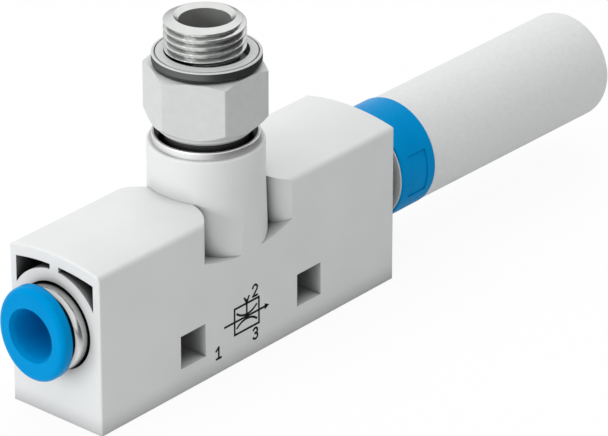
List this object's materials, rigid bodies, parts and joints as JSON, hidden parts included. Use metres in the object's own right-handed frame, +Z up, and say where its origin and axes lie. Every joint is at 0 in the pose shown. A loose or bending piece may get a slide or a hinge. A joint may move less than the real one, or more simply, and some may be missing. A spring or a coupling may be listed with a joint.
{
  "type": "vacuum ejector",
  "caption": "Slim T-shaped venturi vacuum ejector with push-in pressure port, threaded hexagonal vacuum fitting on a tower and plug-in porous silencer.",
  "frame": {"origin": "on the base face, under the tower's axis", "axes": "+X along the body towards the silencer, +Y across the body, +Z up the tower's axis, out of the vacuum port"},
  "size_m": [0.0991, 0.014, 0.0421],
  "materials": {
    "housing_plastic": "fine satin moulding",
    "blue_plastic": "smooth moulding",
    "white_plastic": "smooth moulding",
    "porous_plastic": "sintered, finely grained",
    "nickel": "bright nickel plate",
    "fitting_metal": "satin nickel plate",
    "spring_steel": "bright strip",
    "brass": "turned",
    "rubber": "matt black"
  },
  "bodies": {
    "body": {"housing": "housing_plastic", "p_sleeve": "nickel", "p_grip_ring": "spring_steel", "p_support_ring": "white_plastic", "p_seal": "rubber", "jet_nozzle": "brass", "jet_o_ring": "rubber", "receiver_nozzle": "white_plastic", "receiver_o_ring": "rubber", "v_sleeve": "nickel", "v_grip_ring": "spring_steel", "v_support_ring": "white_plastic", "v_seal": "rubber", "r_sleeve": "nickel", "r_grip_ring": "spring_steel", "r_support_ring": "white_plastic", "r_seal": "rubber"},
    "release": {"p_release_ring": "blue_plastic"},
    "fitting": {"vacuum_fitting": "fitting_metal", "sealing_ring": "fitting_metal", "sealing_o_ring": "rubber"},
    "silencer": {"silencer_collar": "blue_plastic", "silencer_element": "porous_plastic"}
  },
  "joints": [
    {"name": "release_ring_press", "type": "slide", "parent": "body", "child": "release", "axis": [1, 0, 0], "range_m": [0, 0.00075], "stiffness_N_per_m": 800},
    {"name": "fitting_swivel", "type": "hinge", "parent": "body", "child": "fitting", "pos_m": [0, 0, 0.0265], "axis": [0, 0, 1], "continuous": true},
    {"name": "silencer_swivel", "type": "hinge", "parent": "body", "child": "silencer", "pos_m": [0.026, 0, 0.0121], "axis": [1, 0, 0], "continuous": true}
  ]
}
